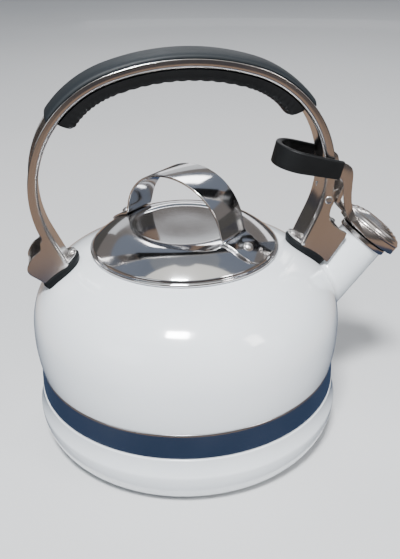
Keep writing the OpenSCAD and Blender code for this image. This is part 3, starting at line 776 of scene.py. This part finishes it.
def boot_edges():
    """The free edges of the two boots' flanges, from the handle's side down to the toe."""
    front = [handle_point(FRONT_TURN, CHANNEL), (92.6, 160.4), (93.2, 158.2), (94.2, 155.7), (93.7, 153.2),
             (92.6, 150.6), (91.8, 147.6), (91.7, 144.6)]
    front += [foot(u, n) for u, n in ((4.2, 20.9), (9, 20.3), (14, 20.9), (18.2, 21.7), (20.2, 20.6),
                                      (21.6, 15), (23, 8))]
    front += [on_pad(foot(23, 8), foot(24.5, 0))]
    rear = [handle_point(REAR_TURN, CHANNEL), handle_point(math.radians(112), CHANNEL)]
    rear += [foot(u, n) for u, n in ((1.2, 19.6), (3.4, 17.4), (6.4, 16.3), (11.3, 16.9), (17.4, 15.4),
                                     (20.4, 13.4), (21.5, 10.2), (20.8, 5))]
    rear += [on_pad(foot(21.0, 5), foot(20.2, 0))]
    return [Vector(p) for p in front], [Vector(p) for p in rear]


def add_sole(name, side, u_out, toe):
    """A sole with its round inner tab, and the plate that closes the boot's toe."""
    sole = foot_plate(side, x_in=68.5, half=HALF_W - 0.2, u_out=u_out, low=PAD_T + 0.03,
                      high=PAD_T + SOLE_T, rim=0.35, corner=0)
    outer = catmull(toe, 6)
    inner = []
    for i, p in enumerate(outer):
        ahead = ahead_at(outer, i)
        inner.append(p + 1.2 * Vector((-ahead.y, ahead.x)) * (1 if ahead.y > 0 else -1))
    outline = [(side * p.x, p.y) for p in outer + list(reversed(inner))]
    toe_plate = prism(outline, -HALF_W + STEEL / 2, HALF_W - STEEL / 2)
    make_piece(name, *joined(sole, toe_plate), "handle_steel", "kettle", ["handle_band"], 40)


def add_handle():
    """The steel channel, with a soft bend at each side of its web, and its two boots."""
    front_edge, rear_edge = boot_edges()
    front = foot_stations(front_edge, FRONT_TURN)
    rear = [[Vector((-p.x, p.y)) for p in pair] for pair in reversed(foot_stations(rear_edge, REAR_TURN))]
    count = 130
    arch = []
    for i in range(1, count):
        a = -REAR_TURN + (FRONT_TURN + REAR_TURN) * i / count
        arch.append((handle_point(a, 0), handle_point(a, CHANNEL)))
    sections = [channel_section(web, edge) for web, edge in rear + arch + front]
    make_piece("handle_channel", *sweep(sections), "handle_steel", "kettle", ["handle_band"], 60)

    add_sole("front_sole", 1, 24, [on_pad(foot(23, 8), foot(24.4, 0)), foot(22.4, 10), foot(20.5, 20.0)])
    add_sole("rear_sole", -1, 19, [on_pad(foot(21, 5), foot(20.2, 0)), foot(20.7, 5), foot(21.0, 10.6),
                                   foot(19.8, 13.2)])


def add_feet():
    """Moulded pads between the soles and the shoulder, with soft rims, and the foot screws."""
    for name, side, node in (("front_pad", 1, "front_gasket"), ("rear_pad", -1, "rear_gasket")):
        pad = foot_plate(side, x_in=67, half=PAD_HALF, u_out=22, low=0.06, high=PAD_T, rim=1.3, corner=3)
        make_piece(name, *pad, "gasket_rubber", "kettle", [node], 50)

    top = PAD_T + SOLE_T
    screw = [(0, 1.5), (1.1, 1.45), (1.9, 1.1), (2.35, 0.5), (2.4, 0), (1.5, 0), (1.5, -15), (0, -15)]
    parts = []
    for side in (1, -1):
        for r in SCREW_RADII:
            slope = math.atan(shoulder_z(r - 0.5, top) - shoulder_z(r + 0.5, top))
            place = Matrix.Translation((side * r, 0, shoulder_z(r, top)))
            parts.append(lathe(screw, 40, place @ Matrix.Rotation(side * slope, 4, "Y"), closed=False))
    make_piece("foot_screws", *joined(*parts), "fastener_steel", "kettle", ["handle_screws"], 40)


def grip_solid(a_end, steps, loop_at):
    """A grip along the arch to the angle a_end, in degrees, on each side of the top."""
    sections = []
    for i in range(-steps, steps + 1):
        t = i / steps
        a = math.radians(a_end) * t
        sections.append([Vector((handle_point(a, d).x, y, handle_point(a, d).y)) for d, y in loop_at(t)])
    return sweep(sections)


def crowned(half, power, rise, rise_power, steps):
    """(rise, y) points from -half to half over a rounded crown."""
    for k in range(steps + 1):
        q = math.pi * k / steps
        y = -half * math.copysign(abs(math.cos(q)) ** power, math.cos(q))
        yield rise * math.sin(q) ** rise_power, y


def add_grips():
    """The satin grip on the channel and the ribbed grip under it; t runs from -1 to 1 along each."""
    rib_count, rib_h, gap = 33, 0.42, 0.08

    def upper(t):
        seam, floor = CHANNEL + 0.25, STEEL + 0.15
        end = max(0.0, (abs(t) - 0.955) / 0.045)
        height = 3.5 - 0.9 * abs(t) ** 3 - 1.7 * end ** 2
        half = HALF_W + 0.05 - 0.8 * end ** 2
        inside = half - STEEL - 0.3
        crown = [(seam + height * 0.12 + d, y) for d, y in crowned(half, 0.7, height * 0.88, 0.85, 18)]
        return [(seam, -half)] + crown + [(seam, half), (seam, inside), (floor, inside),
                                          (floor, -inside), (seam, -inside)]

    def lower(t):
        rib = rib_h * abs(math.sin(math.pi / 2 * rib_count * t)) ** 3
        end = max(0.0, (abs(t) - 0.9) / 0.1)
        shrink = math.sqrt(max(0.0, 1 - end ** 2.4))
        depth = (7.8 + 2.4 * t ** 4 - rib) * max(0.06, shrink)
        half = (HALF_W - 0.9 - 0.25 * rib) * (0.9 + 0.1 * shrink)
        return [(-gap - d, y) for d, y in crowned(half, 0.5, depth - gap, 0.6, 20)]

    make_piece("top_grip", *grip_solid(52.5, 90, upper), "upper_grip", "kettle", ["upper_grip"], 45)
    make_piece("ribbed_grip", *grip_solid(50.5, 264, lower), "lower_grip", "kettle", ["lower_grip"], 50)


def add_pivot():
    """The lever's pin with its two riveted heads, and the wire of the torsion spring."""
    dome = [(0, 0.55), (1.2, 0.5), (2.0, 0.35), (2.4, 0.12), (2.5, 0), (PIN_R, 0)]
    head = [(r, HALF_W + z) for r, z in dome]
    profile = head + [(PIN_R, -HALF_W)] + [(r, -y) for r, y in reversed(head)]
    place = Matrix.Translation((PIN.x, 0, PIN.y)) @ Matrix.Rotation(math.pi / 2, 4, "X")
    pin = lathe(profile, 40, place, closed=False)
    make_piece("riveted_pin", *pin, "fastener_steel", "kettle", ["pivot_pin"], 40)

    wire_r, coil_r, coil_half, turns, steps = 0.5, 2.3, 2.8, 5.5, 150
    path = [Vector((PIN.x - 3.9, 2.9, PIN.y + 7.5)), Vector((PIN.x - 3.4, 2.9, PIN.y + 3.5))]
    for i in range(steps + 1):
        a = math.pi + 2 * math.pi * turns * i / steps
        path.append(Vector((PIN.x + coil_r * math.cos(a), coil_half * (1 - 2 * i / steps),
                            PIN.y - coil_r * math.sin(a))))
    path += [path[-1] + Vector((0.4, -0.1, 1.3)), path[-1] + Vector((0.8, -0.1, 2.6))]
    circle = [2 * math.pi * k / 10 for k in range(10)]
    sections = []
    for i, p in enumerate(path):
        ahead = ahead_at(path, i)
        side = ahead.cross(Vector((0.3, 0.9, 0.1))).normalized()
        up = side.cross(ahead)
        sections.append([p + wire_r * (math.cos(q) * side + math.sin(q) * up) for q in circle])
    make_piece("torsion_spring", *sweep(sections), "spring_steel", "kettle", ["lever_spring"], 60)


# ---------------------------------------------------------------- lever

def strip_section(low, high, across):
    """A rectangle with soft edges between two edge points; across is the sheet's normal."""
    along = high - low
    length = along.length
    along.normalize()
    t = ARM_T / 2
    loop = rounded([(0, -t), (length, -t), (length, t), (0, t)], 0.35, 2)
    return [low + along * a + across * b for a, b in loop]


def ring_section(a, low_s, high_s):
    """The ring's section at the angle a, between two heights along the spout's axis."""
    r = RING_R - ARM_T / 2
    radial = Vector((math.cos(a), math.sin(a)))
    low, high = at_spout(low_s, r * radial.x), at_spout(high_s, r * radial.x)
    normal = Vector((math.sin(SPOUT_ANGLE) * radial.x, radial.y, -math.cos(SPOUT_ANGLE) * radial.x))
    y = r * radial.y
    return strip_section(Vector((low.x, y, low.y)), Vector((high.x, y, high.y)), normal)


def mirror_section(section):
    """The same loop of points with its two faces swapped, so that a strip keeps its twist."""
    n = len(section)
    return [section[(n - j) % n] for j in range(n)]


def add_lever():
    """One bent strip of steel: two arms that run into the ring round the whistle, and a web."""
    arm_mid = ARM_IN + ARM_T / 2
    low_edge = catmull([(86, 173.4), (92, 171.6), (95.4, 170.4), (97.4, 168.4), (98.3, 165.4),
                        (98.8, 161), (99.3, 156), (100.4, 150), (102.4, 144.8), (105.4, 140.2)], 6)
    high_edge = catmull([(88, 182.6), (94, 181.2), (99.4, 179.4), (103, 176.6), (104.3, 172.4),
                         (104.3, 166), (104.3, 159), (105, 152.6), (106.9, 146.4), (109.8, 141.6)], 6)

    def arm(side):
        """One arm, which spreads and leans over its last fifth to meet the ring."""
        out = []
        for i, (low, high) in enumerate(zip(low_edge, high_edge)):
            f = max(0.0, (i / (len(low_edge) - 1) - 0.80) / 0.20)
            y = side * (arm_mid + 2.2 * f ** 2)
            tilt = Vector((-0.25 * f * side, 1.0, 0.2 * f * side)).normalized()
            out.append(strip_section(Vector((low.x, y, low.y)), Vector((high.x, y, high.y)), tilt))
        return out

    front_turns = [-RING_JOIN + 2 * RING_JOIN * k / 64 for k in range(65)]
    ring = [ring_section(a, RING_LOW, RING_TOP) for a in front_turns]
    # The sheet's inner side has to stay the same side all the way round.
    strip = [mirror_section(s) for s in arm(-1)] + ring + list(reversed(arm(1)))
    make_piece("lever_strip", *sweep(strip), "lever_steel", "lever", ["lever_frame"], 45)

    # The rear of the ring closes behind the cap.
    rear_turns = [RING_JOIN + 2 * (math.pi - RING_JOIN) * k / 40 for k in range(41)]
    rear = [ring_section(a, RING_LOW + 0.4, RING_TOP - 0.4) for a in rear_turns]
    make_piece("ring_back", *sweep(rear), "lever_steel", "lever", ["lever_frame"], 45)

    web = rounded([(99.4, 165.8), (100.8, 165.8), (101.2, 163), (98.4, 156.4), (96.8, 153.2),
                   (94.9, 153.6), (95.7, 157.4), (97.3, 161.2)], [0.5, 0.5, 2, 2, 0.7, 0.7, 2, 2], 4)
    parts = [prism(web, -ARM_IN - 0.2, ARM_IN + 0.2)]
    lug_r, lug_in = 3.1, 7.6
    lug = [(PIN.x + lug_r * math.sin(a), PIN.y + lug_r * math.cos(a))
           for a in (math.radians(-12 * i) for i in range(16))]
    lug += [(PIN.x + 1.0, PIN.y - 3), (97.2, 154), (97.2, 161.4)]
    for side in (-1, 1):
        parts.append(prism(lug, side * lug_in, side * (lug_in + ARM_T)))
    piece = make_piece("lever_web", *joined(*parts), "lever_steel", "lever", ["lever_frame"], 35)
    soften_edges(piece, 0.3)


def add_thumb_grip():
    """The moulded loop round the handle's leg, with soft rims and a slightly taller front."""
    end_x, bend_x = 96, 72.6      # where the loop meets the lever, and the middle of its bend
    half_wall = 1.95
    r = 16.6 - half_wall          # from the middle of the wall
    straight = (96, 90, 84, 78)
    path = [(x, -r) for x in straight]
    path += [(bend_x + r * math.cos(a), r * math.sin(a))
             for a in (math.radians(-90 - 5 * i) for i in range(37))]
    path += [(x, r) for x in reversed(straight)]
    path = [Vector(p) for p in path]
    tilt = Matrix.Translation((end_x, 0, 175.6)) @ Matrix.Rotation(THUMB_ANGLE, 4, "Y")
    tilt = tilt @ Matrix.Translation((-end_x, 0, 0))
    sections = []
    for i, p in enumerate(path):
        ahead = ahead_at(path, i)
        normal = Vector((ahead.y, -ahead.x))
        rise = max(0.0, min(1.0, (88 - p.x) / 30))
        half_h = THUMB_H / 2 - 0.25 + 0.9 * rise
        loop = rounded([(-half_wall, -half_h), (half_wall, -half_h), (half_wall + 0.1, 0),
                        (half_wall, half_h), (-half_wall, half_h)], [1.2, 1.5, 6, 1.7, 1.2], 5)
        if i in (0, len(path) - 1):
            loop = [(a * 0.93, b * 0.97) for a, b in loop]
        sections.append([tilt @ Vector((p.x + normal.x * a, p.y + normal.y * a, b)) for a, b in loop])
    make_piece("thumb_loop", *sweep(sections), "thumb_grip", "lever", ["thumb_grip"], 50)


def add_whistle():
    """The ridged steel cap; its dome has three rings round a bright centre."""
    r, z0 = RING_R, RING_TOP
    rim = r - 0.9
    skirt_low = RING_LOW + 0.7
    skirt_out, skirt_in = r - 1.62, r - 2.35
    ridge_h, ridge_pitch = 0.5, 3.3

    def fall(q):
        return 1 - (q / rim) ** 2.4

    def dome(q):
        ridge = ridge_h * math.cos(2 * math.pi * q / ridge_pitch) if 7.4 < q < 17.6 else 0.0
        return z0 + 3.3 + 3.9 * fall(q) + ridge

    profile = [(skirt_out, skirt_low), (skirt_out, z0 - 0.2)]
    profile += rounded([(skirt_out, z0), (r + 0.1, z0 + 0.15), (r + 0.15, z0 + 1.3), (rim + 0.1, z0 + 2.4),
                        (rim - 0.3, dome(rim) - 0.2)], [0, 0.6, 0.7, 0.5, 0], 5, False)
    outside = [rim - 0.5 - (rim - 2.0) * k / 120 for k in range(121)]
    profile += [(q, dome(q)) for q in outside]
    profile += [(1.2, dome(1.5) - 0.4), (1.2, dome(1.5) - 0.9)]
    under = [2.5 + (r - 6) * k / 16 for k in range(17)]
    profile += [(q, z0 + 2.2 + 3.6 * fall(q)) for q in under]
    profile += [(skirt_in, z0 + 1), (skirt_in, skirt_low)]
    cap = lathe(profile, 144, MOUTH_FRAME)
    make_piece("ridged_cap", *cap, "lever_steel", "lever", ["whistle_cap"], 60)


# ---------------------------------------------------------------- what the CAD nodes keep

def finish_nodes():
    """Gives each CAD node its own material and smooth shading."""
    for name, obj in frame["nodes"].items():
        obj.data.materials.clear()
        obj.data.materials.append(MATS[SLOT_OF[name]])
        for poly in obj.data.polygons:
            poly.use_smooth = True
        obj.data.set_sharp_from_angle(angle=math.radians(35))


# ---------------------------------------------------------------- stage and light

def stage_object(name, verts, faces, mat):
    """A mesh in metres that belongs to the studio and not to the kettle."""
    mesh = bpy.data.meshes.new(name)
    mesh.from_pydata(verts, [], faces)
    mesh.materials.append(mat)
    obj = bpy.data.objects.new(name, mesh)
    bpy.context.scene.collection.objects.link(obj)
    return obj


def add_floor():
    """A plain square floor, 12 m wide, so that no view shows its edge close by."""
    size = 6.0
    corners = [(-size, -size, 0), (size, -size, 0), (size, size, 0), (-size, size, 0)]
    stage_object("floor", corners, [(0, 1, 2, 3)], floor_material())


def add_card(name, r0, z0, r1, z1, value, a0=0, a1=360):
    """A studio card that only reflections see: part of a ring or cone about the Z axis."""
    n = 64
    verts = []
    for r, z in ((r0, z0), (r1, z1)):
        for k in range(n + 1):
            a = math.radians(a0 + (a1 - a0) * k / n)
            verts.append((r * math.cos(a), r * math.sin(a), z))
    mat, nodes, links, shader = new_material(name)
    nodes.remove(shader)
    glow = nodes.new("ShaderNodeEmission")
    glow.inputs["Color"].default_value = (*value, 1)
    links.new(glow.outputs["Emission"], nodes["Material Output"].inputs["Surface"])
    card = stage_object(name, verts, grid_faces(2, n + 1), mat)
    card.visible_camera = False
    card.visible_shadow = False
    card.visible_diffuse = False
    card.visible_transmission = False


def add_cards():
    """Dark, bluish and warm cards for the steel to mirror; lengths are in metres."""
    # The nearest one starts beyond the contact shadow and stands in for the photo's blue cloth.
    add_card("flag_near", 0.102, 0.002, 0.27, 0.004, (0.050, 0.078, 0.145))
    add_card("flag_mid", 0.27, 0.004, 0.75, 0.008, (0.40, 0.285, 0.215))
    add_card("flag_floor", 0.75, 0.008, 1.6, 0.02, (0.07, 0.07, 0.08))
    add_card("flag_low", 1.6, 0.02, 1.9, 0.55, (0.10, 0.095, 0.09))
    add_card("flag_wall", 1.9, 0.55, 1.9, 1.25, (0.22, 0.20, 0.19))
    add_card("flag_ceiling", 1.9, 1.25, 0.9, 2.1, (0.22, 0.25, 0.31))
    add_card("window_left", 1.80, 0.45, 1.80, 1.15, (1.7, 1.75, 1.8), 200, 232)
    add_card("window_right", 1.80, 0.35, 1.80, 1.0, (1.1, 1.1, 1.15), 318, 334)
    add_card("window_back", 1.80, 0.5, 1.80, 0.9, (0.9, 0.92, 0.95), 70, 110)
    add_card("card_back", 1.70, -0.05, 1.70, 0.50, (1.5, 1.5, 1.55), 30, 90)
    add_card("card_above", 1.45, 1.50, 0.20, 1.66, (1.30, 1.28, 1.20), 195, 335)


def add_lamp(name, place, aim, size, power, color=(1, 1, 1)):
    """A rectangular lamp; lengths are in metres and power in watts."""
    data = bpy.data.lights.new(name, "AREA")
    data.shape = "RECTANGLE"
    data.size, data.size_y = size
    data.energy = power
    data.color = color
    lamp = bpy.data.objects.new(name, data)
    lamp.location = place
    lamp.rotation_euler = (Vector(aim) - Vector(place)).to_track_quat("-Z", "Y").to_euler()
    bpy.context.scene.collection.objects.link(lamp)


def add_lights():
    """Three soft lamps and an even, slightly cool sky."""
    world = bpy.data.worlds.new("studio")
    bpy.context.scene.world = world
    world.use_nodes = True
    sky = world.node_tree.nodes["Background"]
    sky.inputs["Color"].default_value = (0.80, 0.85, 0.93, 1)
    sky.inputs["Strength"].default_value = 0.37

    add_lamp("key", (-0.25, -0.75, 1.45), (0, 0, 0.1), (0.34, 0.24), 56, (0.96, 0.98, 1.0))
    add_lamp("fill", (0.9, -0.9, 0.9), (0, 0, 0.1), (0.25, 0.4), 5, (1.0, 0.97, 0.94))
    add_lamp("rim", (0.3, 1.1, 1.2), (0, 0, 0.15), (0.9, 0.35), 7)


add_camera()
finish_nodes()
add_body()
add_spout()
add_lid()
add_handle()
add_feet()
add_grips()
add_pivot()
add_lever()
add_thumb_grip()
add_whistle()
add_floor()
add_cards()
add_lights()
